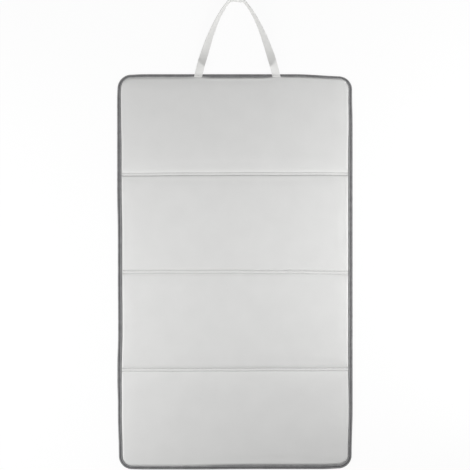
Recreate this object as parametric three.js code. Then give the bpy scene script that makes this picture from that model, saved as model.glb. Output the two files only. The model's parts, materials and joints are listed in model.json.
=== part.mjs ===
// Folding ironing pad: four padded panels that are sewn into one length with three folds, a bound edge
// and a webbing hand loop. Millimetres, +Z up. The pad lies flat on a table with its ironing face up
// and the hand loop along +Y. The origin is on the table, at the centre of the whole outline.
import * as THREE from 'three';

// Outline of the pad, seen from above
const padWidth = 596;
const endPanelLength = 252;
const middlePanelLength = 248;
const cornerRadius = 33;

// Layers of a panel, from the table up, and the play between layers that touch
const backingThickness = 0.8;
const coreThickness = 3;
const feltThickness = 2.8;
const coverThickness = 0.8;
const layerPlay = 0.2;

// Felt where stitches press it flat, the run over which a panel swells from there to its full
// thickness, the share of that run where the foam core starts, and the play round the core
const sewnFeltThickness = 2;
const crownRun = 20;
const coreStart = 0.3;
const corePlay = 0.3;

// Folds: two rows of stitches with a flat land beside each, and the play along the fold line
const foldRowSpacing = 6.6;
const foldRowMargin = 1.5;
const foldPlay = 0.3;

// Binding tape, folded round the edge, with the flat land that the panels leave for it
const tapeThickness = 0.7;
const bindingWidth = 10.5;
const bindingLandMargin = 0.5;
const bindingPlay = 0.3;
const bindingStitchInset = 2;

// Sewing thread, laid as one flat line for each row
const threadWidth = 0.8;
const threadHeight = 0.4;

// Webbing strap
const strapWidth = 20;
const strapThickness = 1.6;
const strapSelvedge = 0.6;
const tackLength = 15;
const tackInset = 4;

// Hand loop: how far it reaches from the pad, its place, its legs and the flat piece at its top
const strapReach = 190;
const strapOffset = 6;
const strapFootSpan = 195;
const strapFootLean = THREE.MathUtils.degToRad(14);
const strapTopLean = THREE.MathUtils.degToRad(45);
const strapFootSweep = 59;
const strapTopSweep = 52;
const strapTopLength = 36;
const strapKink = 6;

// Hand loop: its swing line outside the binding, the crest where its legs are creased, the run over
// which they come down from there, and how the webbing turns on its edge
const swingOut = 0.5;
const swingPlay = 0.3;
const floorPlay = 0.3;
const crestOut = 26;
const crestHeight = 13;
const fallRun = 46;
const squareRun = 30;
const twistStart = 30;
const twistTop = THREE.MathUtils.degToRad(77);

// Steps in curved stretches
const cornerSteps = 6;
const crownSteps = 4;
const rollSteps = 6;
const legSteps = 24;
const kinkSteps = 3;

// Heights of the layers where stitches press them flat, as [low, high]
const sewnBacking = stackOn(tapeThickness, backingThickness);
const sewnFelt = stackOn(sewnBacking[1], sewnFeltThickness);
const sewnCover = stackOn(sewnFelt[1], coverThickness);
const upperTape = stackOn(sewnCover[1], tapeThickness);
const bindingHeight = upperTape[1];
const rollRadius = bindingHeight / 2;

// Heights of the layers in the middle of a panel, as [low, high]
const fullBacking = [0, backingThickness];
const fullCore = stackOn(fullBacking[1], coreThickness);
const fullFelt = stackOn(fullCore[1], feltThickness);
const fullCover = stackOn(fullFelt[1], coverThickness);

// Heights of what is sewn on top
const bindingThread = stackOn(bindingHeight, threadHeight);
const foldThread = stackOn(sewnCover[1], threadHeight);
const foot = stackOn(bindingHeight, strapThickness);
const tackThread = stackOn(foot[1], threadHeight);

// Places along the pad
const padLength = 2 * endPanelLength + 2 * middlePanelLength;
const halfWidth = padWidth / 2;
const strapEnd = (padLength - strapReach) / 2;
const farEnd = strapEnd - padLength;
const foldLines = [
  strapEnd - endPanelLength,
  strapEnd - endPanelLength - middlePanelLength,
  farEnd + endPanelLength,
];

// Finishes
const coatedCotton = finish('#d6d6d5', 0.45, 0.1);
const needledFelt = finish('#d9d5cc', 0.95, 0);
const foamSheet = finish('#efefec', 0.8, 0);
const baseCloth = finish('#bdbdbb', 0.9, 0);
const wovenTape = finish('#6f6f70', 0.85, 0);
const greyThread = finish('#a5a5a6', 0.7, 0);
const paleThread = finish('#8d8d8c', 0.7, 0);
const whiteWebbing = finish('#e9e9e7', 0.75, 0);

// Low and high side of a layer that lies on a given height
function stackOn(height, thickness) {
  return [height + layerPlay, height + layerPlay + thickness];
}

function finish(color, roughness, metalness) {
  return new THREE.MeshStandardMaterial({ color, roughness, metalness });
}

// Closed skin through rings with the same number of points, each ring counter-clockwise as seen from
// the end of the run. The two end rings are closed by the cap's triangles, a fan where none is given.
function skin(rings, cap) {
  const count = rings[0].length;
  const last = (rings.length - 1) * count;
  const index = [];
  for (let ring = 0; ring < rings.length - 1; ring += 1) {
    for (let i = 0; i < count; i += 1) {
      const a = ring * count + i;
      const b = ring * count + ((i + 1) % count);
      index.push(a, b, b + count, a, b + count, a + count);
    }
  }
  const fan = Array.from({ length: count - 2 }, (_, i) => [0, i + 1, i + 2]);
  for (const [a, b, c] of cap ?? fan) {
    index.push(a, c, b);
    index.push(last + a, last + b, last + c);
  }
  const geometry = new THREE.BufferGeometry();
  geometry.setAttribute('position', new THREE.Float32BufferAttribute(rings.flat(2), 3));
  geometry.setIndex(index);
  geometry.computeVertexNormals();
  return geometry;
}

const pad = new THREE.Group();

function addPiece(name, geometry, material) {
  const piece = new THREE.Mesh(geometry, material);
  piece.name = name;
  pad.add(piece);
  return piece;
}

// Stages from a panel's edge to the middle: its edge, the end of its flat land, and the swell. Crown is
// the share of the rise on top, and base is the share of the drop underneath, done where the core starts.
const edgeStage = { onLand: false, run: 0, crown: 0, base: 0 };
const landStage = { onLand: true, run: 0, crown: 0, base: 0 };
const swellShares = [coreStart / 3, coreStart];
for (let step = 1; step <= crownSteps - 2; step += 1) {
  swellShares.push(coreStart + (1 - coreStart) * (step / (crownSteps - 2)));
}
const swellStages = swellShares.map((share) => ({
  onLand: true,
  run: share * crownRun,
  crown: Math.sqrt(1 - (1 - share) ** 2),
  base: Math.min(1, share / coreStart),
}));
const topStages = [edgeStage, landStage, ...swellStages];
const baseStages = [edgeStage, landStage, ...swellStages.slice(0, 2)];
const coreStage = swellStages[1];

// Distance of a stage from a panel's fold line or bound edge
const sideInsets = {
  fold: { edge: foldPlay / 2, land: foldRowSpacing / 2 + foldRowMargin },
  bound: { edge: rollRadius + bindingPlay, land: bindingWidth + bindingLandMargin },
};

function insetOf(side, stage) {
  return stage.onLand ? sideInsets[side].land + stage.run : sideInsets[side].edge;
}

// Outline of a panel at one stage and height, with round corners where two bound edges meet
function panelRing(panel, stage, height, play = 0) {
  const sideInset = insetOf('bound', stage) + play;
  const x = halfWidth - sideInset;
  const low = panel.low + insetOf(panel.lowSide, stage) + play;
  const high = panel.high - insetOf(panel.highSide, stage) - play;
  const roundness = Math.max(cornerRadius - sideInset, layerPlay);
  const corners = [
    { x: -x, y: low, side: panel.lowSide, turn: Math.PI },
    { x, y: low, side: panel.lowSide, turn: 1.5 * Math.PI },
    { x, y: high, side: panel.highSide, turn: 0 },
    { x: -x, y: high, side: panel.highSide, turn: 0.5 * Math.PI },
  ];
  return corners.flatMap((corner) => {
    if (corner.side === 'fold') return [[corner.x, corner.y, height]];
    const centreX = corner.x - Math.sign(corner.x) * roundness;
    const centreY = corner.y - (corner.y === high ? roundness : -roundness);
    return Array.from({ length: cornerSteps + 1 }, (_, step) => {
      const angle = corner.turn + (step / cornerSteps) * (Math.PI / 2);
      return [centreX + roundness * Math.cos(angle), centreY + roundness * Math.sin(angle), height];
    });
  });
}

// Rings over the top of a layer and under it, from the sewn height to the full height
function topRings(panel, sewnHeight, fullHeight) {
  return topStages.map((stage) => {
    const height = THREE.MathUtils.lerp(sewnHeight, fullHeight, stage.crown);
    return panelRing(panel, stage, height);
  });
}

function baseRings(panel, sewnHeight, fullHeight) {
  return baseStages.map((stage) => {
    const height = THREE.MathUtils.lerp(sewnHeight, fullHeight, stage.base);
    return panelRing(panel, stage, height);
  });
}

// Cover: a sheet that is crowned over the wadding and drawn down at the folds and under the tape
function coverSheet(panel) {
  const under = topRings(panel, sewnCover[0], fullCover[0]).reverse();
  return skin([...under, ...topRings(panel, sewnCover[1], fullCover[1])]);
}

// Felt: a crowned wad with a flat pocket underneath for the foam core
function feltWad(panel) {
  const pocket = panelRing(panel, coreStage, fullFelt[0]);
  const under = baseRings(panel, sewnFelt[0], fullBacking[1] + layerPlay).reverse();
  return skin([pocket, ...under, ...topRings(panel, sewnFelt[1], fullFelt[1])]);
}

// Core: a flat foam sheet
function coreSheet(panel) {
  const heights = [fullCore[0], fullCore[1]];
  return skin(heights.map((height) => panelRing(panel, coreStage, height, corePlay)));
}

// Backing: a sheet that lies flat on the table and is drawn up at the folds and over the tape
function backingSheet(panel) {
  const under = baseRings(panel, sewnBacking[0], fullBacking[0]).reverse();
  return skin([...under, ...baseRings(panel, sewnBacking[1], fullBacking[1])]);
}

const panels = [
  { low: foldLines[0], high: strapEnd, lowSide: 'fold', highSide: 'bound' },
  { low: foldLines[1], high: foldLines[0], lowSide: 'fold', highSide: 'fold' },
  { low: foldLines[2], high: foldLines[1], lowSide: 'fold', highSide: 'fold' },
  { low: farEnd, high: foldLines[2], lowSide: 'bound', highSide: 'fold' },
];
panels.forEach((panel, i) => {
  addPiece(`backing_${i + 1}`, backingSheet(panel), baseCloth);
  addPiece(`core_${i + 1}`, coreSheet(panel), foamSheet);
  addPiece(`felt_${i + 1}`, feltWad(panel), needledFelt);
  addPiece(`cover_${i + 1}`, coverSheet(panel), coatedCotton);
});

// Runs round the edge, counter-clockwise from above, as points on the outline with the way inwards
function roundCorner(signX, signY, startAngle) {
  const centreX = signX * (halfWidth - cornerRadius);
  const centreY = (signY > 0 ? strapEnd : farEnd) - signY * cornerRadius;
  return Array.from({ length: cornerSteps + 1 }, (_, step) => {
    const angle = startAngle + (step / cornerSteps) * (Math.PI / 2);
    const outward = new THREE.Vector2(Math.cos(angle), Math.sin(angle));
    const x = centreX + cornerRadius * outward.x;
    const y = centreY + cornerRadius * outward.y;
    return { x, y, inward: outward.negate() };
  });
}

function sidePoint(signX, y) {
  return { x: signX * halfWidth, y, inward: new THREE.Vector2(-signX, 0) };
}

const justAbove = (fold) => foldLines[fold] + foldPlay / 2;
const justBelow = (fold) => foldLines[fold] - foldPlay / 2;
const edgeRuns = {
  strap_end: [
    sidePoint(1, justAbove(0)),
    ...roundCorner(1, 1, 0),
    ...roundCorner(-1, 1, 0.5 * Math.PI),
    sidePoint(-1, justAbove(0)),
  ],
  '2_left': [sidePoint(-1, justBelow(0)), sidePoint(-1, justAbove(1))],
  '2_right': [sidePoint(1, justAbove(1)), sidePoint(1, justBelow(0))],
  '3_left': [sidePoint(-1, justBelow(1)), sidePoint(-1, justAbove(2))],
  '3_right': [sidePoint(1, justAbove(2)), sidePoint(1, justBelow(1))],
  far_end: [
    sidePoint(-1, justBelow(2)),
    ...roundCorner(-1, -1, Math.PI),
    ...roundCorner(1, -1, 1.5 * Math.PI),
    sidePoint(1, justBelow(2)),
  ],
};

// Solid with one section along a run. Section points are the distance inwards and the height.
function sweepRun(run, section) {
  const rings = run.map((place) =>
    section.map(([depth, height]) => [
      place.x + depth * place.inward.x,
      place.y + depth * place.inward.y,
      height,
    ]),
  );
  const outline = section.map(([depth, height]) => new THREE.Vector2(depth, height));
  return skin(rings, THREE.ShapeUtils.triangulateShape(outline, []));
}

// Tape section: a lower leg, an inner roll, an upper leg and an outer roll
function rollPoints(radius, steps, startAngle, endAngle) {
  return Array.from({ length: steps + 1 }, (_, step) => {
    const angle = THREE.MathUtils.lerp(startAngle, endAngle, step / steps);
    return [rollRadius + radius * Math.cos(angle), rollRadius + radius * Math.sin(angle)];
  });
}

const tapeSection = [
  [bindingWidth, 0],
  [bindingWidth, tapeThickness],
  ...rollPoints(rollRadius - tapeThickness, rollSteps, 1.5 * Math.PI, 0.5 * Math.PI),
  [bindingWidth, upperTape[0]],
  [bindingWidth, upperTape[1]],
  ...rollPoints(rollRadius, rollSteps, 0.5 * Math.PI, 1.5 * Math.PI),
];

const stitchDepth = bindingWidth - bindingStitchInset;
const stitchSection = [
  [stitchDepth - threadWidth / 2, bindingThread[0]],
  [stitchDepth + threadWidth / 2, bindingThread[0]],
  [stitchDepth + threadWidth / 2, bindingThread[1]],
  [stitchDepth - threadWidth / 2, bindingThread[1]],
];

for (const [place, run] of Object.entries(edgeRuns)) {
  addPiece(`binding_${place}`, sweepRun(run, tapeSection), wovenTape);
  addPiece(`binding_stitch_${place}`, sweepRun(run, stitchSection), greyThread);
}

// Straight thread line between two heights, along X
function threadLine(length, heights) {
  return new THREE.BoxGeometry(length, threadWidth, heights[1] - heights[0]);
}

// Fold stitches: row a is on the panel nearer the strap, row b on the next one
const foldRowLength = padWidth - 2 * (bindingWidth + bindingLandMargin);
const rowSides = { a: 1, b: -1 };
foldLines.forEach((line, i) => {
  for (const [row, side] of Object.entries(rowSides)) {
    const stitch = threadLine(foldRowLength, foldThread);
    const piece = addPiece(`fold_${i + 1}_stitch_${row}`, stitch, paleThread);
    piece.position.set(0, line + (side * foldRowSpacing) / 2, (foldThread[0] + foldThread[1]) / 2);
  }
});

// Webbing section at one place: flat at the foot, and turned about its own length by the twist, which
// lifts its outer edge. The end at the pad is cut along the edge, and the section then turns square.
function strapRing(place) {
  const square = new THREE.Vector2(place.travel.y, -place.travel.x);
  const alongEdge = new THREE.Vector2(Math.sign(place.travel.y), 0);
  const turned = THREE.MathUtils.smoothstep(place.out, 0, squareRun);
  const across = alongEdge.lerp(square, turned);
  across.divideScalar(across.dot(square));
  const half = strapWidth / 2;
  const thin = strapThickness / 2;
  const section = [
    [half, 0],
    [half - strapSelvedge, -thin],
    [strapSelvedge - half, -thin],
    [-half, 0],
    [strapSelvedge - half, thin],
    [half - strapSelvedge, thin],
  ];
  return section.map(([side, lift]) => {
    const level = side * Math.cos(place.twist) + lift * Math.sin(place.twist);
    const rise = lift * Math.cos(place.twist) - side * Math.sin(place.twist);
    const x = strapOffset + place.x + level * across.x;
    return [x, strapEnd + place.out + level * across.y, place.height + rise];
  });
}

// Reach of the turned section to one side of its middle, level and upright
const twistedDepth = (twist) =>
  Math.max(
    (strapWidth / 2) * Math.cos(twist),
    (strapWidth / 2 - strapSelvedge) * Math.cos(twist) + (strapThickness / 2) * Math.sin(twist),
  );
const twistedHeight = (twist) => twistedDepth(Math.PI / 2 - twist);

// One leg of the loop in plan, as distance from the loop's middle and distance out from the pad
const footLine = (out) => strapFootSpan / 2 - out * Math.tan(strapFootLean);
const legStart = swingOut + swingPlay / 2;
const topOut = strapReach - twistedDepth(twistTop);
const footWay = new THREE.Vector2(-Math.sin(strapFootLean), Math.cos(strapFootLean));
const topWay = new THREE.Vector2(-Math.sin(strapTopLean), Math.cos(strapTopLean));
const topCorner = new THREE.Vector2(strapTopLength / 2, topOut);
const legFoot = new THREE.Vector2(footLine(legStart), legStart);
const legTop = topCorner.clone().addScaledVector(topWay, -strapKink);
const leg = new THREE.CubicBezierCurve(
  legFoot,
  legFoot.clone().addScaledVector(footWay, strapFootSweep),
  legTop.clone().addScaledVector(topWay, -strapTopSweep),
  legTop,
);
const kink = new THREE.QuadraticBezierCurve(
  legTop,
  topCorner,
  new THREE.Vector2(topCorner.x - strapKink, topOut),
);

function twistAt(out) {
  return twistTop * THREE.MathUtils.clamp((out - twistStart) / (topOut - twistStart), 0, 1);
}

// The legs rise from the feet to the crest, and come down ever more gently to lie on the table
const footHeight = (foot[0] + foot[1]) / 2;
const onTable = (out) => floorPlay + twistedHeight(twistAt(out));

function heightAt(out) {
  if (out < crestOut) return THREE.MathUtils.mapLinear(out, legStart, crestOut, footHeight, crestHeight);
  const left = THREE.MathUtils.clamp(1 - (out - crestOut) / fallRun, 0, 1);
  return onTable(out) + (crestHeight - onTable(crestOut)) * left ** 2;
}

// Places along half of the loop, from the foot up to the middle of the top piece
const halfLoop = [];
for (let step = 0; step < legSteps; step += 1) {
  halfLoop.push({ point: leg.getPointAt(step / legSteps), way: leg.getTangentAt(step / legSteps) });
}
for (let step = 0; step <= kinkSteps; step += 1) {
  halfLoop.push({ point: kink.getPoint(step / kinkSteps), way: kink.getTangent(step / kinkSteps) });
}

// The loop runs from the left foot over the top to the right foot
function loopPlace({ point, way }, sign) {
  return {
    x: sign * point.x,
    out: point.y,
    height: heightAt(point.y),
    twist: twistAt(point.y),
    travel: new THREE.Vector2(-way.x, -sign * way.y),
  };
}

const loopPlaces = [
  ...halfLoop.map((place) => loopPlace(place, -1)),
  ...halfLoop.map((place) => loopPlace(place, 1)).reverse(),
];
addPiece('handle_strap', skin(loopPlaces.map(strapRing)), whiteWebbing);

// Sewn ends of the strap, which lie on the tape up to its stitch line, each with a bar tack
const footInner = -(stitchDepth - threadWidth / 2 - bindingPlay);
const footOuter = swingOut - swingPlay / 2;
for (const [side, sign] of Object.entries({ left: -1, right: 1 })) {
  const footPlace = (out) => ({
    x: sign * footLine(out),
    out,
    height: footHeight,
    twist: 0,
    travel: new THREE.Vector2(-footWay.x, -sign * footWay.y),
  });
  const ends = sign < 0 ? [footInner, footOuter] : [footOuter, footInner];
  addPiece(`strap_foot_${side}`, skin(ends.map((out) => strapRing(footPlace(out)))), whiteWebbing);
  const tack = addPiece(`strap_tack_${side}`, threadLine(tackLength, tackThread), whiteWebbing);
  const tackX = strapOffset + sign * footLine(-tackInset);
  tack.position.set(tackX, strapEnd - tackInset, (tackThread[0] + tackThread[1]) / 2);
}

export default pad;
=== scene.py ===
# Folding ironing pad: four padded panels sewn into one length, a bound edge and a webbing hand loop.
# It lies open on a pale floor with its ironing face up, and the camera looks straight down on it.
import json
import math
import bpy
import numpy as np
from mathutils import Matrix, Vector


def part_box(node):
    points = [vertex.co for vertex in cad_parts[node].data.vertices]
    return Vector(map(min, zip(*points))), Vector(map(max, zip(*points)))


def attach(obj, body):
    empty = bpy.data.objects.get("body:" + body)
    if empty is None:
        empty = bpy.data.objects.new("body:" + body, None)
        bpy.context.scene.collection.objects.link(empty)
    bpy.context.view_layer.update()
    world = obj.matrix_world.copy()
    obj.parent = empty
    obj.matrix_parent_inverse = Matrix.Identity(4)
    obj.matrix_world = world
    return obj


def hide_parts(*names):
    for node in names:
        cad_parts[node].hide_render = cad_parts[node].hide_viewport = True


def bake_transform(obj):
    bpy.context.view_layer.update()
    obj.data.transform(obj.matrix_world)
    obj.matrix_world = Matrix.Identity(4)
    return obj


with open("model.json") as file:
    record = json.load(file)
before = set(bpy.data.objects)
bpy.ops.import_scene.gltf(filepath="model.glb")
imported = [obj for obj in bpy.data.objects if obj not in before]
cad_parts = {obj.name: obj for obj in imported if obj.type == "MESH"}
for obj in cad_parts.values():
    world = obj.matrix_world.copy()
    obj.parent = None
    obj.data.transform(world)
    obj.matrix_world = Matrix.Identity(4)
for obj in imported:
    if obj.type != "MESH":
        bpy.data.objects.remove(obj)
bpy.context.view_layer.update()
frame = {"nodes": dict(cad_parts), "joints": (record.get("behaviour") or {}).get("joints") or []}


# Base cloth: the underside of the pad, plain woven polyester. It lies flat on the table in the middle
# of each panel, and the stitches and the tape draw it up along its edges. The cloth is continuous, so
# a strip of it runs across each fold.
mm = 0.001
scene = bpy.context.scene

# Outline of the pad, its fold lines and rows of stitches, and the strap's feet
half_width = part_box("binding_strap_end")[1].x
strap_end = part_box("binding_strap_end")[1].y
far_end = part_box("binding_far_end")[0].y
fold_lines = [joint["pos_m"][1] for joint in frame["joints"] if joint["name"].startswith("fold")]
foot_boxes = [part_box("strap_foot_left"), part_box("strap_foot_right")]
foot_places = [(low.x + high.x) / 2 for low, high in foot_boxes]
corner_radius = 33 * mm
first_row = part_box("fold_1_stitch_a")
row_offset = (first_row[0].y + first_row[1].y) / 2 - fold_lines[0]

# How far inside the pad's edge the layers end
layer_tuck = 3.2 * mm

panel_ends = [strap_end, *fold_lines, far_end]
panels = [
    {
        "number": number,
        "body": f"panel_{number}",
        "high": panel_ends[number - 1],
        "low": panel_ends[number],
        "bound_high": number == 1,
        "bound_low": number == 4,
    }
    for number in range(1, 5)
]


def smoothstep(value, low, high):
    """Smooth share from 0 at low to 1 at high."""
    share = np.clip((value - low) / (high - low), 0, 1)
    return share * share * (3 - 2 * share)


def stepped(steps, place):
    """Sum of smooth steps along an edge. Each has its start, its end and its size, in millimetres."""
    return sum(size * mm * smoothstep(place, start * mm, end * mm) for start, end, size in steps)


# Widest flat land of the layers under the tape, at the sides, the far end and the strap end, and the
# steps by which it narrows towards the corners. The strap's feet pinch it too.
tape_land = 11.2 * mm
far_land = 11.6 * mm
strap_land = 9.1 * mm
side_narrowing = ((200, 390, 2.4), (-340, -470, 1.4))
far_narrowing = ((0, -150, 2.2),)
strap_narrowing = ((-60, -120, 0.9), (70, 140, 2.2), (180, 270, 0.9))
foot_pinch = 2.4 * mm
foot_pinch_run = 18 * mm


def side_land(y):
    """Width of the land under the tape at the sides."""
    return tape_land - stepped(side_narrowing, y)


def end_land(x, way):
    """Width of the land under the tape at the strap end (1) or the far end (-1)."""
    if way < 0:
        return far_land - stepped(far_narrowing, x)
    pinch = sum(np.exp(-((x - foot) / foot_pinch_run) ** 2) for foot in foot_places)
    return strap_land - stepped(strap_narrowing, x) - foot_pinch * pinch


def seam_distances(panel, x, y):
    """Distances inwards from the tape at the sides, and from the seams at the low and the high end."""
    low_seam = end_land(x, -1) if panel["bound_low"] else row_offset
    high_seam = end_land(x, 1) if panel["bound_high"] else row_offset
    return half_width - np.abs(x) - side_land(y), y - panel["low"] - low_seam, panel["high"] - high_seam - y


def fade(distance, softness, reach=30 * mm):
    """Share left at a distance from a seam: 1 at the seam, falling off softly to 0 at a reach."""
    rest = np.exp(-reach / softness)
    return np.clip((np.exp(-np.maximum(distance, 0) / softness) - rest) / (1 - rest), 0, 1)


def joined(shares):
    """Shares beside several seams taken together, without a crease where they meet."""
    sharpness = 5
    return sum(share ** sharpness for share in shares) ** (1 / sharpness)


def nearness(panel, x, y, softness):
    """Nearness to a panel's seams, from 1 at them to 0 in the middle of the panel."""
    return np.minimum(joined([fade(d, softness) for d in seam_distances(panel, x, y)]), 1)


# Each seam is sewn by hand and eye: it tilts, bows and wavers by about a millimetre
seam_drifts = [
    {"tilt": 0.8 * mm, "bow": -1.1 * mm, "phase": 0.4},
    {"tilt": -1.0 * mm, "bow": -1.4 * mm, "phase": 2.1},
    {"tilt": 0.85 * mm, "bow": 0.2 * mm, "phase": 4.0},
]

# Steps by which the sewing draws each edge in from a true rectangle
left_draws = (
    (345, 395, 1.8), (117, -4, 1.8), (-126, -200, 0.6),
    (-250, -340, -1.9), (-369, -430, 1.5), (-450, -570, 2.6),
)
right_draws = ((270, 370, 1.5), (-440, -560, 2.6))
strap_draws = ((150, 290, 6.0), (-225, -285, 1.8))
far_draws = ((-100, 50, 0.9), (220, 290, 2.5), (-230, -280, 1.0))


def draw_in(x, y):
    """Places on the pad once its edges are drawn in."""
    right = (x / half_width + 1) / 2
    drawn_x = x + (1 - right) * stepped(left_draws, y) - right * stepped(right_draws, y)
    near_strap = smoothstep(y, fold_lines[0], strap_end)
    near_far = smoothstep(y, fold_lines[-1], far_end)
    drawn_y = y - near_strap * stepped(strap_draws, x) + near_far * stepped(far_draws, x)
    return drawn_x, drawn_y


def settle(x, y):
    """Places on the sewn pad: each seam wanders, the corners are round, and the edges are drawn in."""
    waver = 0.2 * mm
    waver_length = 170 * mm
    pull_start = 6 * mm
    pull_run = 70 * mm
    share = x / half_width
    sewn_x = x
    sewn_y = y
    for line, drift in zip(fold_lines, seam_drifts):
        pull = smoothstep(np.abs(y - line), pull_start + pull_run, pull_start)
        wander = drift["tilt"] * share + drift["bow"] * share ** 2
        wander = wander + waver * np.sin(2 * math.pi * x / waver_length + drift["phase"])
        sewn_y = sewn_y + pull * wander
    out_x = np.abs(sewn_x) - (half_width - corner_radius)
    for end, way in ((strap_end, 1), (far_end, -1)):
        out_y = way * (sewn_y - end) + corner_radius
        inside = (out_x > 0) & (out_y > 0)
        reach = np.hypot(out_x, out_y)
        pull = np.where(inside, np.maximum(out_x, out_y) / np.where(inside, reach, 1), 1)
        sewn_x = np.where(inside, np.sign(sewn_x) * (half_width - corner_radius + out_x * pull), sewn_x)
        sewn_y = np.where(inside, end + way * (out_y * pull - corner_radius), sewn_y)
    return draw_in(sewn_x, sewn_y)


side_reach = half_width - layer_tuck

# Distances from a seam where a layer's grid has its lines
seam_steps = np.array([0, 0.4, 1, 1.8, 2.8, 4.2, 6, 8.5, 12, 17, 23, 30]) * mm


def edge_places(low, high, low_land, high_land, spacing):
    """Places from edge to edge of a layer, close together where it swells beside its seams."""
    land_steps = 5
    near = low + low_land + seam_steps
    far = high - high_land - seam_steps[::-1]
    if low_land:
        near = np.concatenate((np.linspace(low, low + low_land, land_steps)[:-1], near))
    if high_land:
        far = np.concatenate((far, np.linspace(high - high_land, high, land_steps)[1:]))
    middle = np.linspace(near[-1], far[0], round((far[0] - near[-1]) / spacing) + 1)[1:-1]
    return np.concatenate((near, middle, far))


def places_across(spacing):
    """Places from side to side of a layer."""
    land = tape_land - layer_tuck
    return edge_places(-side_reach, side_reach, land, land, spacing)


def panel_grid(panel, spacing):
    """Grid of places over a panel, from seam to seam, before it settles."""
    along_spacing = 6 * mm
    low = panel["low"] + (layer_tuck if panel["bound_low"] else row_offset)
    high = panel["high"] - (layer_tuck if panel["bound_high"] else row_offset)
    low_land = far_land - layer_tuck if panel["bound_low"] else 0
    high_land = strap_land - layer_tuck if panel["bound_high"] else 0
    return np.meshgrid(places_across(spacing), edge_places(low, high, low_land, high_land, along_spacing))


def fold_grid(line, spacing):
    """Grid of places over the channel between a fold's two rows of stitches."""
    channel_steps = 13
    turns = np.linspace(-1, 1, channel_steps) * math.pi / 2
    return np.meshgrid(places_across(spacing), line + row_offset * np.sin(turns))


def fold_puff(line, x, y):
    """How far the channel between two rows of stitches is puffed, from 0 at the rows to 1."""
    tape_softness = 6 * mm
    beside_tape = fade(half_width - np.abs(x) - tape_land, tape_softness)
    lack = np.maximum(np.abs(y - line) / row_offset, beside_tape)
    return np.sqrt(1 - np.minimum(lack, 1) ** 2)


def linear(hex_color):
    """Linear colour of an sRGB hex value."""
    channels = [int(hex_color[i:i + 2], 16) / 255 for i in (1, 3, 5)]
    return [c / 12.92 if c <= 0.04045 else ((c + 0.055) / 1.055) ** 2.4 for c in channels] + [1.0]


def add_node(tree, kind, inputs=None, **settings):
    """Adds a node, makes its settings, and sets or links its inputs."""
    node = tree.nodes.new(kind)
    for name, value in settings.items():
        setattr(node, name, value)
    for key, value in (inputs or {}).items():
        if isinstance(value, bpy.types.NodeSocket):
            tree.links.new(value, node.inputs[key])
        else:
            node.inputs[key].default_value = value
    return node


def new_material(name):
    """An empty material and its node tree."""
    material = bpy.data.materials.new(name)
    material.use_nodes = True
    material.node_tree.nodes.clear()
    return material, material.node_tree


def cloth_material(name):
    """An empty material, its node tree, and the places on a piece for its textures."""
    material, tree = new_material(name)
    return material, tree, add_node(tree, "ShaderNodeTexCoord").outputs["Object"]


# Length over which the wave texture repeats at scale 1
wave_repeat = 2 * math.pi / 20


def plain_weave(tree, place, spacing):
    """Height of warp and weft threads that cross over and under each other."""
    threads = []
    for way in ("X", "Y"):
        wave = add_node(tree, "ShaderNodeTexWave", {"Vector": place, "Scale": wave_repeat / (2 * spacing)},
                        bands_direction=way)
        signed = add_node(tree, "ShaderNodeMath", {0: wave.outputs["Fac"], 1: 2.0, 2: -1.0},
                          operation="MULTIPLY_ADD")
        threads.append(signed.outputs[0])
    return add_node(tree, "ShaderNodeMath", {0: threads[0], 1: threads[1]}, operation="MULTIPLY").outputs[0]


def cloth_surface(tree, shade, dark, light, relief, strength, depth, **looks):
    """Surface between two hex colours, with a relief of a depth in metres."""
    color = add_node(tree, "ShaderNodeMix", {"Factor": shade, 6: linear(dark), 7: linear(light)},
                     data_type="RGBA")
    bump = add_node(tree, "ShaderNodeBump", {"Height": relief, "Strength": strength, "Distance": depth})
    inputs = {"Base Color": color.outputs[2], "Normal": bump.outputs["Normal"]}
    inputs.update({name.replace("_", " "): value for name, value in looks.items()})
    surface = add_node(tree, "ShaderNodeBsdfPrincipled", inputs)
    add_node(tree, "ShaderNodeOutputMaterial", {"Surface": surface.outputs["BSDF"]})


def add_piece(name, points, faces, material):
    """Mesh piece with smooth faces and crisp rims."""
    crisp_angle = math.radians(50)
    mesh = bpy.data.meshes.new(name)
    mesh.from_pydata(points.tolist(), [], faces)
    mesh.materials.append(material)
    mesh.shade_smooth()
    mesh.set_sharp_from_angle(angle=crisp_angle)
    piece = bpy.data.objects.new(name, mesh)
    scene.collection.objects.link(piece)
    return piece


def grid_quads(rows, columns):
    """Faces of a grid of points that are counted row by row."""
    index = np.arange(rows * columns).reshape(rows, columns)
    corners = (index[:-1, :-1], index[:-1, 1:], index[1:, 1:], index[1:, :-1])
    return np.dstack(corners).reshape(-1, 4)


def sheet_piece(name, x, y, top, base, material):
    """Closed sheet over a settled grid of places: an upper face, a lower face, and a rim between them."""
    x, y = settle(x, y)
    rows, columns = x.shape
    count = rows * columns
    upper = np.dstack((x, y, top)).reshape(-1, 3)
    lower = np.dstack((x, y, base)).reshape(-1, 3)
    quads = grid_quads(rows, columns)
    index = np.arange(count).reshape(rows, columns)
    loop = np.concatenate((index[0, :-1], index[:-1, -1], index[-1, :0:-1], index[:0:-1, 0]))
    onward = np.roll(loop, -1)
    rim = np.column_stack((loop + count, onward + count, onward, loop))
    faces = np.vstack((quads, quads[:, ::-1] + count, rim))
    return add_piece(name, np.vstack((upper, lower)), faces.tolist(), material)


def bend_at_fold(piece):
    """Bakes the place of a piece between the two panels beside a fold, from one row of stitches to the
    other, into its mesh.
    """
    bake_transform(piece)


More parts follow.
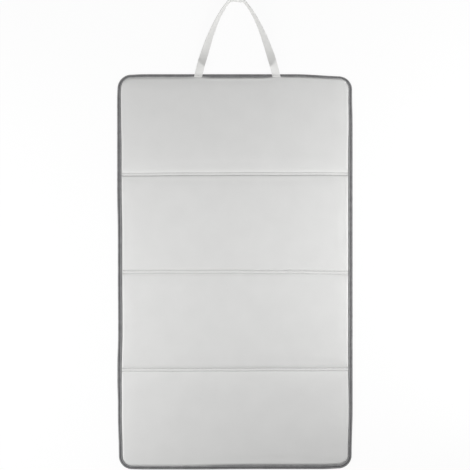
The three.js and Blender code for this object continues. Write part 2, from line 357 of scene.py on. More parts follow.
# Plain woven polyester, undyed mid grey: soft and matt, with a square weave drawn a little coarse
base_cloth, tree, place = cloth_material("plain_woven_polyester")
weave = plain_weave(tree, place, spacing=1.1 * mm)
cloud = add_node(tree, "ShaderNodeTexNoise", {"Vector": place, "Scale": 1 / (60 * mm), "Detail": 4.0})
slub = add_node(tree, "ShaderNodeMath", {0: weave, 1: 0.18, 2: cloud.outputs["Fac"]},
                operation="MULTIPLY_ADD")
cloth_surface(tree, slub.outputs[0], "#b2b2b0", "#c6c6c4", weave, strength=0.35, depth=0.25 * mm,
              Roughness=0.9, Sheen_Weight=0.15)

layer_spacing = 9 * mm
base_thickness = 0.7 * mm
base_lift = 0.9 * mm
base_softness = 2 * mm
base_puff = 0.25 * mm
for fold, line in enumerate(fold_lines):
    x, y = fold_grid(line, layer_spacing)
    low = base_lift - base_puff * fold_puff(line, x, y)
    strip = sheet_piece(f"base_cloth_fold_{fold + 1}", x, y, low + base_thickness, low, base_cloth)
    bend_at_fold(strip)
for panel in panels:
    number = panel["number"]
    x, y = panel_grid(panel, layer_spacing)
    low = base_lift * nearness(panel, x, y, base_softness)
    cloth = sheet_piece(f"base_cloth_{number}", x, y, low + base_thickness, low, base_cloth)
    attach(cloth, panel["body"])
    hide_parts(f"backing_{number}")


# Foam core: a flat sheet of closed cell foam in each panel, cut square and slipped between the base
# cloth and the felt. It keeps the panel flat and is never seen.
# Closed cell foam: white and matt, pitted by its cut cells
foam, tree, place = cloth_material("closed_cell_foam")
cells = add_node(tree, "ShaderNodeTexVoronoi", {"Vector": place, "Scale": 1 / (1.2 * mm)})
pits = cells.outputs["Distance"]
cloth_surface(tree, pits, "#f2f2ef", "#e3e3df", pits, strength=0.3, depth=0.3 * mm, Roughness=0.8)
for panel in panels:
    frame["nodes"][f"core_{panel['number']}"].material_slots[0].material = foam


# Felt wadding: needled felt over the foam, thinned where the stitches press it flat. It gives each
# panel its soft swelled edge, and a roll of it fills the channel at each fold.
# Needled felt: matt and hairy, an uneven cream of tangled fibres
felt, tree, place = cloth_material("needled_felt")
tangle = add_node(tree, "ShaderNodeTexNoise", {"Vector": place, "Scale": 1 / (2.5 * mm), "Detail": 6.0})
fibre = tangle.outputs["Fac"]
cloth_surface(tree, fibre, "#cfcabf", "#e4e0d8", fibre, strength=0.5, depth=0.6 * mm,
              Roughness=0.95, Sheen_Weight=0.3)

# Heights of the cover's upper face under the tape, at a fold's rows of stitches, and in the middle
taped_top = 4.2 * mm
row_top = 3.2 * mm
full_top = 8.0 * mm

# How softly the cover swells from the tape at the sides, the strap end, the left part of that, and the
# far end
side_softness = 2 * mm
strap_softness = 1.1 * mm
strap_left_softness = 3.4 * mm
strap_left_part = (-40 * mm, -140 * mm)
far_softness = 1.6 * mm

# How softly the panel before and the panel after each fold swells from its row of stitches, and how far
# that end of the panel stays low over a longer run
row_softness = [(5 * mm, 1.8 * mm), (2.2 * mm, 4 * mm), (4.5 * mm, 6.5 * mm)]
low_ends = [(0, 1.4 * mm), (0, 0.5 * mm), (0, 0)]
low_end_softness = 40 * mm
low_end_reach = 120 * mm
row_tape_softness = 3 * mm

# How far the channel at each fold puffs up, and how slack the cover lies before it is pressed out
channel_rises = [0.6 * mm, 1.9 * mm, 2.1 * mm]
cover_thickness = 0.6 * mm
cover_slack = 0.7 * mm
slack_softness = 9 * mm

# The felt's gap to the cover, its underside at the seams, and the pocket in it that holds the foam
felt_gap = 0.15 * mm
felt_low = 1.9 * mm
pocket_floor = 0.95 * mm
pocket_roof = 4.15 * mm
pocket_inset = 4.6 * mm


def row_drop(x):
    """How far a row of stitches draws the cover down, less where it runs in under the tape."""
    beside_tape = fade(half_width - np.abs(x) - tape_land, row_tape_softness)
    return full_top - row_top - (taped_top - row_top) * beside_tape


def cover_height(panel, x, y):
    """Height of the cover over a panel, swelled between its seams."""
    side, low, high = seam_distances(panel, x, y)
    drops = [(full_top - taped_top) * fade(side, side_softness)]
    if panel["bound_high"]:
        softer = (strap_left_softness - strap_softness) * smoothstep(x, *strap_left_part)
        softness = strap_softness + softer
        drops.append((full_top - taped_top) * fade(high, softness))
    if panel["bound_low"]:
        drops.append((full_top - taped_top) * fade(low, far_softness))
    for fold, distance, after in ((panel["number"] - 1, low, 0), (panel["number"] - 2, high, 1)):
        if 0 <= fold < len(fold_lines):
            low_end = low_ends[fold][after]
            near = (row_drop(x) - low_end) * fade(distance, row_softness[fold][after])
            drops.append(near + low_end * fade(distance, low_end_softness, low_end_reach))
    return full_top - np.minimum(joined(drops), row_drop(x))


def slack_drop(panel, x, y):
    """How far the cover lies below its full swell before the wadding presses it out."""
    return cover_slack * (1 - nearness(panel, x, y, slack_softness))


for fold, line in enumerate(fold_lines):
    x, y = fold_grid(line, layer_spacing)
    top = full_top - row_drop(x) + channel_rises[fold] * fold_puff(line, x, y) - cover_thickness - felt_gap
    low = np.full(x.shape, felt_low)
    roll = sheet_piece(f"felt_fold_{fold + 1}", x, y, top, low, felt)
    bend_at_fold(roll)
for panel in panels:
    number = panel["number"]
    x, y = panel_grid(panel, layer_spacing)
    top = cover_height(panel, x, y) - slack_drop(panel, x, y) - cover_thickness - felt_gap
    low = pocket_floor + (felt_low - pocket_floor) * nearness(panel, x, y, base_softness)
    in_pocket = np.minimum.reduce(seam_distances(panel, x, y)) > pocket_inset
    low = np.where(in_pocket, pocket_roof, low)
    wad = sheet_piece(f"felt_{number}_wad", x, y, top, low, felt)
    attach(wad, panel["body"])
    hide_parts(f"felt_{number}")


# Cover: cotton with a smooth silver grey coating that reflects heat, drawn over the wadding, which
# presses it out. Two rows of stitches at each fold draw it down, and it puffs up between them.
# Coated cotton: an even pale grey with a soft, dull gloss, its plain weave just felt through the coating
cotton, tree, place = cloth_material("coated_cotton")
weave = plain_weave(tree, place, spacing=0.8 * mm)
cloud = add_node(tree, "ShaderNodeTexNoise", {"Vector": place, "Scale": 1 / (55 * mm), "Detail": 3.0})
handled = add_node(tree, "ShaderNodeTexNoise", {"Vector": place, "Scale": 1 / (9 * mm), "Detail": 2.0})
rough = add_node(tree, "ShaderNodeMapRange",
                 {"Value": handled.outputs["Fac"], "To Min": 0.62, "To Max": 0.74})
cloth_surface(tree, cloud.outputs["Fac"], "#d6d6d5", "#dddddc", weave, strength=0.12, depth=0.12 * mm,
              Roughness=rough.outputs["Result"], Specular_IOR_Level=0.25)

cover_spacing = 3 * mm


def gathers(along, phase):
    """Small gathers along a seam, from -1 to 1, that crowd and grow in places."""
    gather_length = 9.5 * mm
    crowd_length = 61 * mm
    crowd_turn = 2.2
    growth_length = 143 * mm
    growth = 0.4
    crowding = crowd_turn * np.sin(2 * math.pi * along / crowd_length + phase)
    height = 1 - growth + growth * np.sin(2 * math.pi * along / growth_length + 2 * phase)
    return height * np.sin(2 * math.pi * along / gather_length + crowding)


def puckers(panel, x, y):
    """Small rises and dips that the stitches draw in the cover beside a panel's seams."""
    pucker_depth = 0.16 * mm
    pucker_reach = 7 * mm
    pucker_start = 1.5 * mm
    number = panel["number"]
    waves = (gathers(y, number + np.sign(x)), gathers(x, number + 1), gathers(x, number + 4))
    height = np.zeros(x.shape)
    for wave, distance in zip(waves, seam_distances(panel, x, y)):
        inside = np.maximum(distance, 0)
        height += wave * np.exp(-inside / pucker_reach) * (1 - np.exp(-inside / pucker_start))
    return pucker_depth * height


def pressed_out():
    """How far the wadding presses each panel's cover out, by a cloth simulation of coarse sheets that are
    held at their seams: the places across, the places along, and the rise at each."""
    last_frame = 20
    pressure = 4
    most_rise = 1.1 * mm
    columns = 73
    rows = 31
    sheets = []
    for panel in panels:
        low = panel["low"] + (far_land if panel["bound_low"] else row_offset)
        high = panel["high"] - (strap_land if panel["bound_high"] else row_offset)
        across = np.linspace(-1, 1, columns) * (half_width - tape_land)
        along = np.linspace(low, high, rows)
        x, y = np.meshgrid(across, along)
        start = cover_height(panel, x, y) - slack_drop(panel, x, y)
        points = np.dstack((x, y, start)).reshape(-1, 3)
        cloth = add_piece("slack_cover", points, grid_quads(rows, columns).tolist(), cotton)
        sewn = np.ones(x.shape, dtype=bool)
        sewn[1:-1, 1:-1] = False
        cloth.vertex_groups.new(name="sewn").add(np.flatnonzero(sewn).tolist(), 1, "REPLACE")
        swelling = cloth.modifiers.new("swelling", "CLOTH")
        swelling.settings.vertex_group_mass = "sewn"
        swelling.settings.use_pressure = True
        swelling.settings.uniform_pressure_force = pressure
        swelling.settings.effector_weights.gravity = 0
        swelling.point_cache.frame_start = 1
        swelling.point_cache.frame_end = last_frame
        sheets.append((across, along, start, cloth))
    for step in range(1, last_frame + 1):
        scene.frame_set(step)
    graph = bpy.context.evaluated_depsgraph_get()
    rises = []
    for across, along, start, cloth in sheets:
        pressed = bpy.data.meshes.new_from_object(cloth.evaluated_get(graph))
        height = np.array([point.co.z for point in pressed.vertices]).reshape(start.shape)
        rises.append((across, along, most_rise * np.tanh(np.maximum(height - start, 0) / most_rise)))
        bpy.data.meshes.remove(pressed)
    for *_, cloth in sheets:
        bpy.data.meshes.remove(cloth.data)
    scene.frame_set(1)
    return rises


channel_gather = 0.2
channel_phase = 0.7
for fold, line in enumerate(fold_lines):
    x, y = fold_grid(line, cover_spacing)
    puff = fold_puff(line, x, y) * (1 + channel_gather * gathers(x, fold + channel_phase))
    top = full_top - row_drop(x) + channel_rises[fold] * puff
    strip = sheet_piece(f"cover_fold_{fold + 1}", x, y, top, top - cover_thickness, cotton)
    bend_at_fold(strip)
rises = pressed_out()
for panel in panels:
    number = panel["number"]
    x, y = panel_grid(panel, cover_spacing)
    rise = slack_drop(panel, x, y)
    if rises:
        across, along, pressed = rises[number - 1]
        by_row = np.array([np.interp(x[0], across, row) for row in pressed])
        rise = np.array([np.interp(y[:, 0], along, column) for column in by_row.T]).T
    top = cover_height(panel, x, y) - slack_drop(panel, x, y) + rise + puckers(panel, x, y)
    cover = sheet_piece(f"cover_{number}_cloth", x, y, top, top - cover_thickness, cotton)
    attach(cover, panel["body"])
    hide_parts(f"cover_{number}")


# Edge binding: ribbed tape folded round the whole edge and sewn through once. It runs on over the
# folds in short lengths of its own, and its inner leg gathers a little round the corners.
tape_width = 10.5 * mm
tape_play = 0.5 * mm
tape_thickness = 0.7 * mm
tape_roll = 3.0 * mm
tape_spacing = 4 * mm
bridge_spacing = 1 * mm
bridge_reach = 6 * mm
stitch_depth = 8.0 * mm
stitch_height = 5.55 * mm

# Upper leg of the tape, as distance from the edge and height: a crease beside the rolled edge, a soft
# ridge, the groove that the stitches draw down, and the inner edge
tape_leg = np.array([
    (3.6, 5.84), (4.1, 5.46), (4.5, 5.12), (4.9, 5.0), (5.3, 5.12), (5.8, 5.46), (6.4, 5.72), (7.2, 5.72),
    (8.0, 5.55), (8.7, 5.7), (9.5, 5.72), (10.1, 5.58), (10.5, 5.3),
]) * mm
crease_in_leg = 3

# Whole section: the lower leg, the rolled edge and the upper leg, then back inside
under_leg = [(tape_width, 0.1 * mm), (stitch_depth, 0), (tape_roll + 2 * mm, 0)]
roll_steps = 15
turn = np.linspace(-math.pi / 2, math.pi / 2, roll_steps)
rolled = np.column_stack((1 - np.cos(turn), 1 + np.sin(turn)))
tape_outer = np.vstack((under_leg, tape_roll * rolled, tape_leg))
inner_roll = tape_roll - tape_thickness
tape_inner = np.vstack((
    tape_leg[::-2] - (0, tape_thickness),
    inner_roll * rolled[::-2] + tape_thickness,
    [(stitch_depth, tape_thickness), (tape_width, tape_thickness)],
))
tape_section = np.vstack((tape_outer, tape_inner))
to_crease = tape_outer[:len(tape_outer) - len(tape_leg) + crease_in_leg + 1]
crease_girth = float(np.sum(np.linalg.norm(np.diff(to_crease, axis=0), axis=1)))

# Ribbed tape: dark grey and matt, with fine ribs across it, a paler bloom, and painted shade along its
# crease
tape, tree, place = cloth_material("ribbed_binding_tape")
along_tape = add_node(tree, "ShaderNodeUVMap", uv_map="tape").outputs["UV"]
ribs = add_node(tree, "ShaderNodeTexWave", {"Vector": along_tape, "Scale": wave_repeat / (1.6 * mm)},
                bands_direction="X").outputs["Fac"]
worn = add_node(tree, "ShaderNodeTexNoise", {"Vector": place, "Scale": 1 / (14 * mm), "Detail": 3.0})
tone = add_node(tree, "ShaderNodeMath", {0: ribs, 1: 0.4, 2: worn.outputs["Fac"]}, operation="MULTIPLY_ADD")
# Painted shade: the tape goes dark in a band along the crease beside its rolled edge, where shade falls, by
# its distance round the tape from the crease
round_tape = add_node(tree, "ShaderNodeSeparateXYZ", {"Vector": along_tape})
off_crease = add_node(tree, "ShaderNodeMath", {0: round_tape.outputs["Y"], 1: crease_girth},
                      operation="SUBTRACT")
from_crease = add_node(tree, "ShaderNodeMath", {0: off_crease.outputs[0]}, operation="ABSOLUTE")
crease_painted_shade = add_node(tree, "ShaderNodeMapRange",
                      {"Value": from_crease.outputs[0], "From Min": 0.6 * mm, "From Max": 1.8 * mm},
                      interpolation_type="SMOOTHSTEP")
shade = add_node(tree, "ShaderNodeMath", {0: tone.outputs[0], 1: crease_painted_shade.outputs["Result"]},
                 operation="MULTIPLY")
cloth_surface(tree, shade.outputs[0], "#48484a", "#8f8f90", ribs, strength=0.5, depth=0.25 * mm,
              Roughness=0.82, Sheen_Weight=0.2)


def side_run(side, start, end, spacing=tape_spacing):
    """Run along a straight side: places on the edge, the way inwards, and how much the tape gathers."""
    steps = max(round(abs(end - start) / spacing), 2)
    y = np.linspace(start, end, steps + 1)
    flat = np.zeros(steps + 1)
    return np.column_stack((flat + side * half_width, y, flat - side, flat, flat))


def corner_run(side, end, way, start_angle):
    """Run round an outer corner, counter-clockwise from above."""
    corner_places = 41
    angles = start_angle + np.linspace(0, math.pi / 2, corner_places)
    x = side * (half_width - corner_radius) + corner_radius * np.cos(angles)
    y = end - way * corner_radius + corner_radius * np.sin(angles)
    gather = np.sqrt(np.maximum(np.sin((angles - start_angle) * 2), 0))
    return np.column_stack((x, y, -np.cos(angles), -np.sin(angles), gather))


def end_run(end, way):
    """Run along an end of the pad between its corners."""
    end_places = 132
    x = np.linspace(1, -1, end_places)[1:-1] * way * (half_width - corner_radius)
    flat = np.zeros(len(x))
    return np.column_stack((x, flat + end, flat, flat - way, flat))


def run_round(end, way, line):
    """Run from a line round the strap end (1) or the far end (-1) and back to the line."""
    straight_end = end - way * corner_radius
    angle = 0 if way > 0 else math.pi
    return np.vstack((
        side_run(way, line, straight_end)[:-1],
        corner_run(way, end, way, angle),
        end_run(end, way),
        corner_run(-way, end, way, angle + math.pi / 2),
        side_run(-way, straight_end, line)[1:],
    ))


def across_tape(run, depth):
    """Places at depths in from the edge along a run, with the tape as wide as the land that it covers."""
    x, y, inward_x, inward_y = (column[:, None] for column in run.T[:4])
    at_end = np.where(inward_y > 0, end_land(x, -1), end_land(x, 1))
    at_side = side_land(y)
    width = at_side + (at_end - at_side) * inward_y ** 2 - tape_play
    leg_share = (width - tape_roll) / (tape_width - tape_roll)
    reach = np.where(depth > tape_roll, tape_roll + (depth - tape_roll) * leg_share, depth)
    return draw_in(x + inward_x * reach, y + inward_y * reach)


def swept_piece(name, rings, section, material, uv_name):
    """Closed length of tape or webbing through rings of points, with a map along it and round it."""
    stations, count = rings.shape[:2]
    middles = rings.mean(axis=1)
    travel = np.concatenate(([0], np.cumsum(np.linalg.norm(np.diff(middles, axis=0), axis=1))))
    closed = np.vstack((section, section[:1]))
    girth = np.concatenate(([0], np.cumsum(np.linalg.norm(np.diff(closed, axis=0), axis=1))))
    index = np.arange(stations * count).reshape(stations, count)
    ahead = np.roll(index, -1, axis=1)
    walls = np.dstack((index[:-1], index[1:], ahead[1:], ahead[:-1])).reshape(-1, 4)
    faces = walls.tolist() + [index[0].tolist(), index[-1, ::-1].tolist()]
    piece = add_piece(name, rings.reshape(-1, 3), faces, material)
    here = travel[:-1, None]
    there = travel[1:, None]
    u = np.dstack((here, there, there, here))
    v = np.dstack((girth[:-1], girth[:-1], girth[1:], girth[1:]))
    wall_map = np.stack(np.broadcast_arrays(u, v), axis=-1).reshape(-1, 2)
    cap_maps = [np.column_stack((np.full(count, u_end), ways)) for u_end, ways in
                ((travel[0], girth[:-1]), (travel[-1], girth[-2::-1]))]
    uv_map = piece.data.uv_layers.new(name=uv_name)
    uv_map.data.foreach_set("uv", np.vstack((wall_map, *cap_maps)).ravel())
    return piece


def tape_piece(name, run):
    """Length of folded tape along a run."""
    gather_depth = 0.22 * mm
    gather_turn = 1.9
    depth, height = tape_section.T
    on_leg = np.clip((depth - tape_roll) / tape_roll, 0, 1) * (height > tape_roll)
    wrinkles = gather_depth * run[:, 4:] * np.sin(np.arange(len(run)) * gather_turn)[:, None]
    x, y = across_tape(run, depth)
    piece = swept_piece(name, np.dstack((x, y, height + wrinkles * on_leg)), tape_section, tape, "tape")
    return piece


# Ends of the tape's lengths before and after each fold
before = [line + bridge_reach for line in fold_lines]
after = [line - bridge_reach for line in fold_lines]
edge_runs = {
    "panel_1": {"strap_end": run_round(strap_end, 1, before[0])},
    "panel_2": {
        "2_left": side_run(-1, after[0], before[1]),
        "2_right": side_run(1, before[1], after[0]),
    },
    "panel_3": {
        "3_left": side_run(-1, after[1], before[2]),
        "3_right": side_run(1, before[2], after[1]),
    },
    "panel_4": {"far_end": run_round(far_end, -1, after[2])},
}
for body, runs in edge_runs.items():
    for edge, run in runs.items():
        binding = tape_piece(f"tape_{edge}", run)
        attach(binding, body)
        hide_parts(f"binding_{edge}")
bridge_runs = [
    [side_run(-1, high, low, bridge_spacing), side_run(1, low, high, bridge_spacing)]
    for high, low in zip(before, after)
]
for fold, runs in enumerate(bridge_runs):
    for side, run in zip(("left", "right"), runs):
        bend_at_fold(tape_piece(f"tape_fold_{fold + 1}_{side}", run))


# Stitches: lockstitch in spun polyester thread. Two rows hold the layers at each fold, and one row goes
# through the tape all round. Each stitch is a short thread that dips into the cloth at both ends.
def spun_thread(name, dark, light):
    """Spun polyester thread: matt, slightly hairy, with a shade that changes from stitch to stitch."""
    material, tree, place = cloth_material(name)
    shade = add_node(tree, "ShaderNodeTexNoise", {"Vector": place, "Scale": 1 / (4 * mm), "Detail": 2.0})
    twist = add_node(tree, "ShaderNodeTexWave", {"Vector": place, "Scale": wave_repeat / (0.5 * mm)},
                     bands_direction="DIAGONAL")
    cloth_surface(tree, shade.outputs["Fac"], dark, light, twist.outputs["Fac"],
                  strength=0.3, depth=0.1 * mm, Roughness=0.75)
    return material


stitch_tree = bpy.data.node_groups.new("sewn_stitches", "GeometryNodeTree")
for name, kind in (
    ("Seam", "NodeSocketGeometry"),
    ("Stitch spacing", "NodeSocketFloat"),
    ("Stitch length", "NodeSocketFloat"),
    ("Thread width", "NodeSocketFloat"),
    ("Thread", "NodeSocketMaterial"),
):
    stitch_tree.interface.new_socket(name, in_out="INPUT", socket_type=kind)
stitch_tree.interface.new_socket("Stitches", in_out="OUTPUT", socket_type="NodeSocketGeometry")
given = add_node(stitch_tree, "NodeGroupInput").outputs
seam = add_node(stitch_tree, "GeometryNodeMeshToCurve", {"Mesh": given["Seam"]})
holes = add_node(stitch_tree, "GeometryNodeCurveToPoints",
                 {"Curve": seam.outputs["Curve"], "Length": given["Stitch spacing"]}, mode="LENGTH")
bead = add_node(stitch_tree, "GeometryNodeMeshUVSphere", {"Segments": 6, "Rings": 5, "Radius": 0.5})
bead_size = add_node(stitch_tree, "ShaderNodeCombineXYZ",
                     {"X": given["Thread width"], "Y": given["Thread width"], "Z": given["Stitch length"]})
most_tilt = np.array((0.05, 0.05, 0.0))
tilt = add_node(stitch_tree, "FunctionNodeRandomValue", {0: -most_tilt, 1: most_tilt, "Seed": 7},
                data_type="FLOAT_VECTOR")
leaning = add_node(stitch_tree, "FunctionNodeRotateRotation",
                   {"Rotation": holes.outputs["Rotation"], "Rotate By": tilt.outputs["Value"]},
                   rotation_space="LOCAL")
laid = add_node(stitch_tree, "GeometryNodeInstanceOnPoints", {
    "Points": holes.outputs["Points"],
    "Instance": bead.outputs["Mesh"],
    "Rotation": leaning.outputs["Rotation"],
    "Scale": bead_size.outputs["Vector"],
})
real = add_node(stitch_tree, "GeometryNodeRealizeInstances", {"Geometry": laid.outputs["Instances"]})
smooth = add_node(stitch_tree, "GeometryNodeSetShadeSmooth", {"Geometry": real.outputs["Geometry"]})
dyed = add_node(stitch_tree, "GeometryNodeSetMaterial",
                {"Geometry": smooth.outputs["Geometry"], "Material": given["Thread"]})
add_node(stitch_tree, "NodeGroupOutput", {"Stitches": dyed.outputs["Geometry"]})


def sew(name, seams, stitch, thread):
    """Stitches of one size along seams, each a row of points, as one plain mesh."""
    points = np.vstack(seams)
    starts = np.cumsum([0] + [len(line) for line in seams])
    edges = [(i, i + 1) for a, b in zip(starts[:-1], starts[1:]) for i in range(a, b - 1)]
    mesh = bpy.data.meshes.new(name)
    mesh.from_pydata(points.tolist(), edges, [])
    piece = bpy.data.objects.new(name, mesh)
    scene.collection.objects.link(piece)
    sewing = piece.modifiers.new("stitches", "NODES")
    sewing.node_group = stitch_tree
    inputs = {**stitch, "Thread": thread}
    for item in stitch_tree.interface.items_tree:
        if item.name in inputs:
            sewing[item.identifier] = inputs[item.name]
    graph = bpy.context.evaluated_depsgraph_get()
    stitched = bpy.data.meshes.new_from_object(piece.evaluated_get(graph))
    piece.modifiers.clear()
    piece.data = stitched
    bpy.data.meshes.remove(mesh)
    return piece


# The fold rows' thread is a real grey, made darker as painted shade: its colour also stands in for the
# shade in the rows' grooves
fold_thread_with_painted_shade = spun_thread("pale_polyester_thread", "#848483", "#969695")
grey_thread = spun_thread("grey_polyester_thread", "#9a9a9b", "#b0b0b1")
seam_stitch = {"Stitch spacing": 3.2 * mm, "Stitch length": 3.0 * mm, "Thread width": 0.7 * mm}
thread_proud = 0.15 * mm
under_proud = 0.05 * mm
row_count = 161
row_places = np.linspace(-1, 1, row_count) * (half_width - tape_land)


def fold_row(fold, side):
    """Upper and lower thread of one row of a fold, on the panel before it (1) or after it (-1)."""
    x, y = settle(row_places, np.full(len(row_places), fold_lines[fold] + side * row_offset))
    upper = full_top - row_drop(row_places) + thread_proud
    lower = np.full(len(x), base_lift - under_proud)
    return [np.column_stack((x, y, upper)), np.column_stack((x, y, lower))]


fold_rows = {panel["body"]: {} for panel in panels}
for fold in range(len(fold_lines)):
    fold_rows[f"panel_{fold + 1}"][f"fold_{fold + 1}_stitch_a"] = fold_row(fold, 1)
    fold_rows[f"panel_{fold + 2}"][f"fold_{fold + 1}_stitch_b"] = fold_row(fold, -1)
for body, rows in fold_rows.items():
    seams = [line for row in rows.values() for line in row]
    stitches = sew(f"fold_stitches_{body}", seams, seam_stitch, fold_thread_with_painted_shade)
    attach(stitches, body)
    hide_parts(*rows)


def tape_seam(run):
    """Upper and lower thread of the row of stitches through the tape."""
    x, y = across_tape(run, np.array([stitch_depth]))
    heights = (stitch_height + thread_proud, thread_proud)
    return [np.column_stack((x, y, np.full(len(x), height))) for height in heights]


for body, runs in edge_runs.items():
    seams = [line for run in runs.values() for line in tape_seam(run)]
    stitches = sew(f"tape_stitches_{body}", seams, seam_stitch, grey_thread)
    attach(stitches, body)
    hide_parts(*[f"binding_stitch_{edge}" for edge in runs])
for fold, runs in enumerate(bridge_runs):
    seams = [line for run in runs for line in tape_seam(run)]
    stitches = sew(f"tape_stitches_fold_{fold + 1}", seams, seam_stitch, grey_thread)
    bend_at_fold(stitches)


# Hand loop: one length of white webbing, sewn flat on the tape at both ends. Its legs rise to a crease
# and turn on edge towards a short flat top, so the loop lies open on the table.
# Woven webbing: off-white and matt, with cords along it that the picks cross, drawn a little coarse
webbing, tree, place = cloth_material("woven_webbing")
along_strap = add_node(tree, "ShaderNodeUVMap", uv_map="webbing").outputs["UV"]
cords = add_node(tree, "ShaderNodeTexWave", {"Vector": along_strap, "Scale": wave_repeat / (2.2 * mm)},
                 bands_direction="Y")
picks = add_node(tree, "ShaderNodeTexWave", {"Vector": along_strap, "Scale": wave_repeat / (1.5 * mm)},
                 bands_direction="X")
woven = add_node(tree, "ShaderNodeMath", {0: picks.outputs["Fac"], 1: 0.35, 2: cords.outputs["Fac"]},
                 operation="MULTIPLY_ADD")
soil = add_node(tree, "ShaderNodeTexNoise", {"Vector": place, "Scale": 1 / (25 * mm), "Detail": 3.0})
cloth_surface(tree, soil.outputs["Fac"], "#dededc", "#e8e8e6", woven.outputs[0],
              strength=0.07, depth=0.3 * mm, Roughness=0.8, Sheen_Weight=0.05)

strap_width = 20 * mm
strap_thickness = 1.6 * mm
strap_selvedge = 0.6 * mm
strap_middle = sum(foot_places) / 2
strap_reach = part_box("handle_strap")[1].y - strap_end

# Loop in plan: its feet, the lean of its legs at both ends and how far they sweep on, and its flat top
foot_span = 195 * mm
foot_lean = math.radians(14)
top_lean = math.radians(42)
foot_sweep = 59 * mm
top_sweep = 52 * mm
left_corner_out = 17.5 * mm
right_corner_out = 15.6 * mm
right_corner_drop = 2 * mm
top_kink = 6 * mm
foot_inner = -7.8 * mm
leg_start = 0.65 * mm

# Heights: the foot on the tape, and the crease where the left and right legs turn down to the table
foot_height = 6.8 * mm
crest_out = 26 * mm
crest_slant = 0.5
crest_height = 14.5 * mm
crest_round = 1.2 * mm
fall_runs = (40 * mm, 46 * mm)
floor_play = 0.3 * mm

# Turns: from the cut along the tape to square, and on edge towards the top, on the left and right
square_run = 30 * mm
twist_starts = (36 * mm, 26 * mm)
twist_top = math.radians(77)
twist_ease = 1.6

# Half the width of the webbing's flat faces, and half its thickness
flat_half = strap_width / 2 - strap_selvedge
thin = strap_thickness / 2


def twisted_depth(twist):
    """Reach of the turned webbing to one side of its middle, in plan."""
    rim = strap_width / 2 * np.cos(twist)
    face_corner = flat_half * np.cos(twist) + thin * np.sin(twist)
    return np.maximum(rim, face_corner)


def bezier(controls, steps):
    """Points along a curve from its first control point to its last."""
    t = np.linspace(0, 1, steps)[:, None]
    degree = len(controls) - 1
    return sum(
        math.comb(degree, power) * t ** power * (1 - t) ** (degree - power) * control
        for power, control in enumerate(controls)
    )


top_out = strap_reach - twisted_depth(twist_top)
foot_way = np.array((-math.sin(foot_lean), math.cos(foot_lean)))
top_way = np.array((-math.sin(top_lean), math.cos(top_lean)))
foot_end = np.array((foot_span / 2 - foot_inner * math.tan(foot_lean), foot_inner))
leg_foot = np.array((foot_span / 2 - leg_start * math.tan(foot_lean), leg_start))


def half_loop(corner):
    """Middle line from the right foot to a corner of the flat top and round it."""
    end_steps = 9
    leg_steps = 80
    leg_top = corner - top_kink * top_way
    foot = bezier((foot_end, leg_foot), end_steps)[:-1]
    leg_controls = (leg_foot, leg_foot + foot_sweep * foot_way, leg_top - top_sweep * top_way, leg_top)
    kink = bezier((leg_top, corner, corner - (top_kink, 0)), end_steps)[1:]
    return np.vstack((foot, bezier(leg_controls, leg_steps), kink))


# The loop has settled a little askew: the right corner of its flat top lies further in and lower
left_half = half_loop(np.array((left_corner_out, top_out))) * (-1, 1)
right_half = half_loop(np.array((right_corner_out, top_out - right_corner_drop)))[::-1]
top_steps = 5
flat_top = bezier((left_half[-1], right_half[0]), top_steps)[1:-1]
loop = np.vstack((left_half, flat_top, right_half))
across = loop[:, :1]
out = loop[:, 1:]
travel = np.gradient(loop, axis=0)
travel /= np.linalg.norm(travel, axis=1)[:, None]
square = np.column_stack((travel[:, 1], -travel[:, 0]))
along_edge = np.column_stack((np.sign(travel[:, 1]), np.zeros(len(loop))))
turned = smoothstep(out, 0, square_run)
sideways = along_edge * (1 - turned) + square * turned
sideways /= np.sum(sideways * square, axis=1)[:, None]

# Webbing section, as distance from its middle and from its mid plane: flat faces and round selvedges
face_places = 9
bulge_places = 7
face = np.linspace(-1, 1, face_places) * flat_half
bulge = np.linspace(-math.pi / 2, math.pi / 2, bulge_places)[1:-1]
selvedge = np.column_stack((flat_half + strap_selvedge * np.cos(bulge), thin * np.sin(bulge)))
half_section = np.vstack((np.column_stack((face, np.full(face_places, -thin))), selvedge))
webbing_section = np.vstack((half_section, -half_section))
side, lift = webbing_section.T
twist_start = np.where(across < 0, *twist_starts)
to_turn = np.clip((top_out - out) / (top_out - twist_start), 0, 1)
twist = twist_top * (1 - to_turn ** twist_ease)
on_floor = floor_play + twisted_depth(math.pi / 2 - twist)

# The crease slants: the outer edge of each leg reaches its crest later than the inner edge
crest_at = crest_out - crest_slant * side
crest_drop = crest_height - floor_play - thin
fall_run = np.where(across < 0, *fall_runs)
fallen = on_floor + crest_drop * np.maximum(1 - (out - crest_at) / fall_run, 0) ** 2
risen = foot_height + (crest_height - foot_height) * np.maximum(out - leg_start, 0) / (crest_at - leg_start)
middle_height = -crest_round * np.log(np.exp(-fallen / crest_round) + np.exp(-risen / crest_round))
level = side * np.cos(twist) + lift * np.sin(twist)
rings = np.dstack((
    strap_middle + across + level * sideways[:, :1],
    strap_end + out + level * sideways[:, 1:],
    middle_height + lift * np.cos(twist) - side * np.sin(twist),
))
strap = swept_piece("webbing_strap", rings, webbing_section, webbing, "webbing")
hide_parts("handle_strap", "strap_foot_left", "strap_foot_right")
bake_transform(strap)


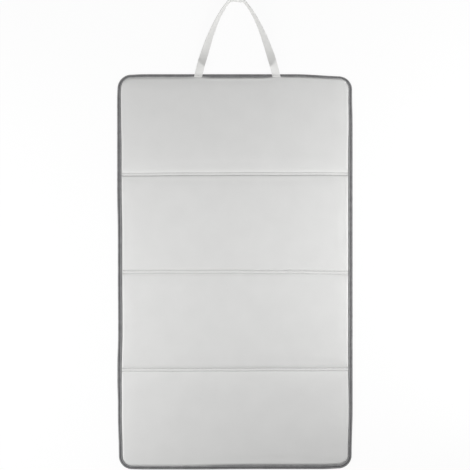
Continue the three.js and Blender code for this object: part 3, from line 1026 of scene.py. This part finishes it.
# Bar tacks: a short band of white zigzag stitches across each end of the strap, through the webbing and
# the tape below it. They take the pull when the pad is carried.
white_thread = spun_thread("white_polyester_thread", "#e0e0de", "#ececea")
tack_length = 15 * mm
tack_inset = 4 * mm
tack_stitches = 15
tack_lean = 0.45
tack_proud = 0.1 * mm
tack_height = foot_height + thin + tack_proud
tack_stitch = {**seam_stitch, "Stitch spacing": 3 * mm, "Stitch length": 2.6 * mm}
for side, foot in zip(("left", "right"), foot_places):
    legs = []
    for number, x in enumerate(np.linspace(-tack_length / 2, tack_length / 2, tack_stitches)):
        lean = tack_lean if number % 2 else -tack_lean
        start = np.array((foot + x, strap_end - tack_inset, tack_height))
        legs.append(np.vstack((start, start + np.array((lean, 1, 0)) * mm)))
    tack = sew(f"tack_stitches_{side}", legs, tack_stitch, white_thread)
    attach(tack, "panel_1")
    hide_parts(f"strap_tack_{side}")


# Camera: straight above the pad, far off with a long lens, framed as the pad fills the photograph. The
# size of a pixel on the table sets the lens.
pixel = 2.532 * mm
frame_pixels = 470
picture_middle = (0.25 * mm, -1.8 * mm)
camera_height = 4.0
camera_data = bpy.data.cameras.new("camera")
camera_data.sensor_width = 36
camera_data.lens = camera_data.sensor_width * camera_height / (frame_pixels * pixel)
camera_data.clip_end = 50
camera = bpy.data.objects.new("camera", camera_data)
camera.location = (*picture_middle, camera_height)
scene.collection.objects.link(camera)
scene.camera = camera
scene.view_settings.view_transform = "Standard"


# Floor and backdrop: white paper that the pad lies on, lit to white for the camera and for reflections,
# with a trace of the pad's shadow
def seen_directly(tree):
    """1 for rays from the camera, reflections and clear pieces, 0 for light that falls on the pad."""
    ray = add_node(tree, "ShaderNodeLightPath").outputs
    mirrored = add_node(tree, "ShaderNodeMath", {0: ray["Is Glossy Ray"], 1: ray["Is Transmission Ray"]},
                        operation="MAXIMUM")
    return add_node(tree, "ShaderNodeMath", {0: ray["Is Camera Ray"], 1: mirrored.outputs[0]},
                    operation="MAXIMUM").outputs[0]


floor_reach = 8.0
floor_height = -0.3 * mm
lit_share = 0.93
floor_corners = floor_reach * np.array([(-1, -1, 0), (1, -1, 0), (1, 1, 0), (-1, 1, 0)])
paper, tree = new_material("white_paper_floor")
matt = add_node(tree, "ShaderNodeBsdfDiffuse", {"Color": linear("#f4f4f4")})
glow = add_node(tree, "ShaderNodeEmission", {"Color": (1, 1, 1, 1), "Strength": 1.0})
white_share = add_node(tree, "ShaderNodeMath", {0: seen_directly(tree), 1: lit_share},
                       operation="MULTIPLY")
mixed = add_node(tree, "ShaderNodeMixShader",
                 {0: white_share.outputs[0], 1: matt.outputs[0], 2: glow.outputs[0]})
add_node(tree, "ShaderNodeOutputMaterial", {"Surface": mixed.outputs[0]})
floor = add_piece("floor", floor_corners + (0, 0, floor_height), [(0, 1, 2, 3)], paper)

world = bpy.data.worlds.new("studio")
scene.world = world
world.use_nodes = True
tree = world.node_tree
tree.nodes.clear()
room = add_node(tree, "ShaderNodeBackground", {"Color": (1, 1, 1, 1), "Strength": 0.22})

# The backdrop is as bright as the floor is far from the lights, so no horizon shows
backdrop = add_node(tree, "ShaderNodeBackground", {"Color": (1, 1, 1, 1), "Strength": 0.945})
mixed = add_node(tree, "ShaderNodeMixShader",
                 {0: seen_directly(tree), 1: room.outputs[0], 2: backdrop.outputs[0]})
add_node(tree, "ShaderNodeOutputWorld", {"Surface": mixed.outputs[0]})


# Lights: a soft box at each side of the pad, about half way along it, aimed across the ironing face
def softbox(name, place, aim, size, power):
    """Square soft light that faces a point."""
    lamp = bpy.data.lights.new(name, "AREA")
    lamp.shape = "SQUARE"
    lamp.size = size
    lamp.energy = power
    holder = bpy.data.objects.new(name, lamp)
    holder.location = place
    holder.rotation_euler = (Vector(aim) - Vector(place)).to_track_quat("-Z", "Y").to_euler()
    holder.visible_camera = False
    scene.collection.objects.link(holder)


softbox("left_softbox", place=(-1.05, -0.24, 0.73), aim=(0.6, -0.05, 0), size=1.0, power=14.8)
softbox("right_softbox", place=(0.84, 0.02, 0.47), aim=(-0.6, 0.6, 0), size=1.0, power=10.0)
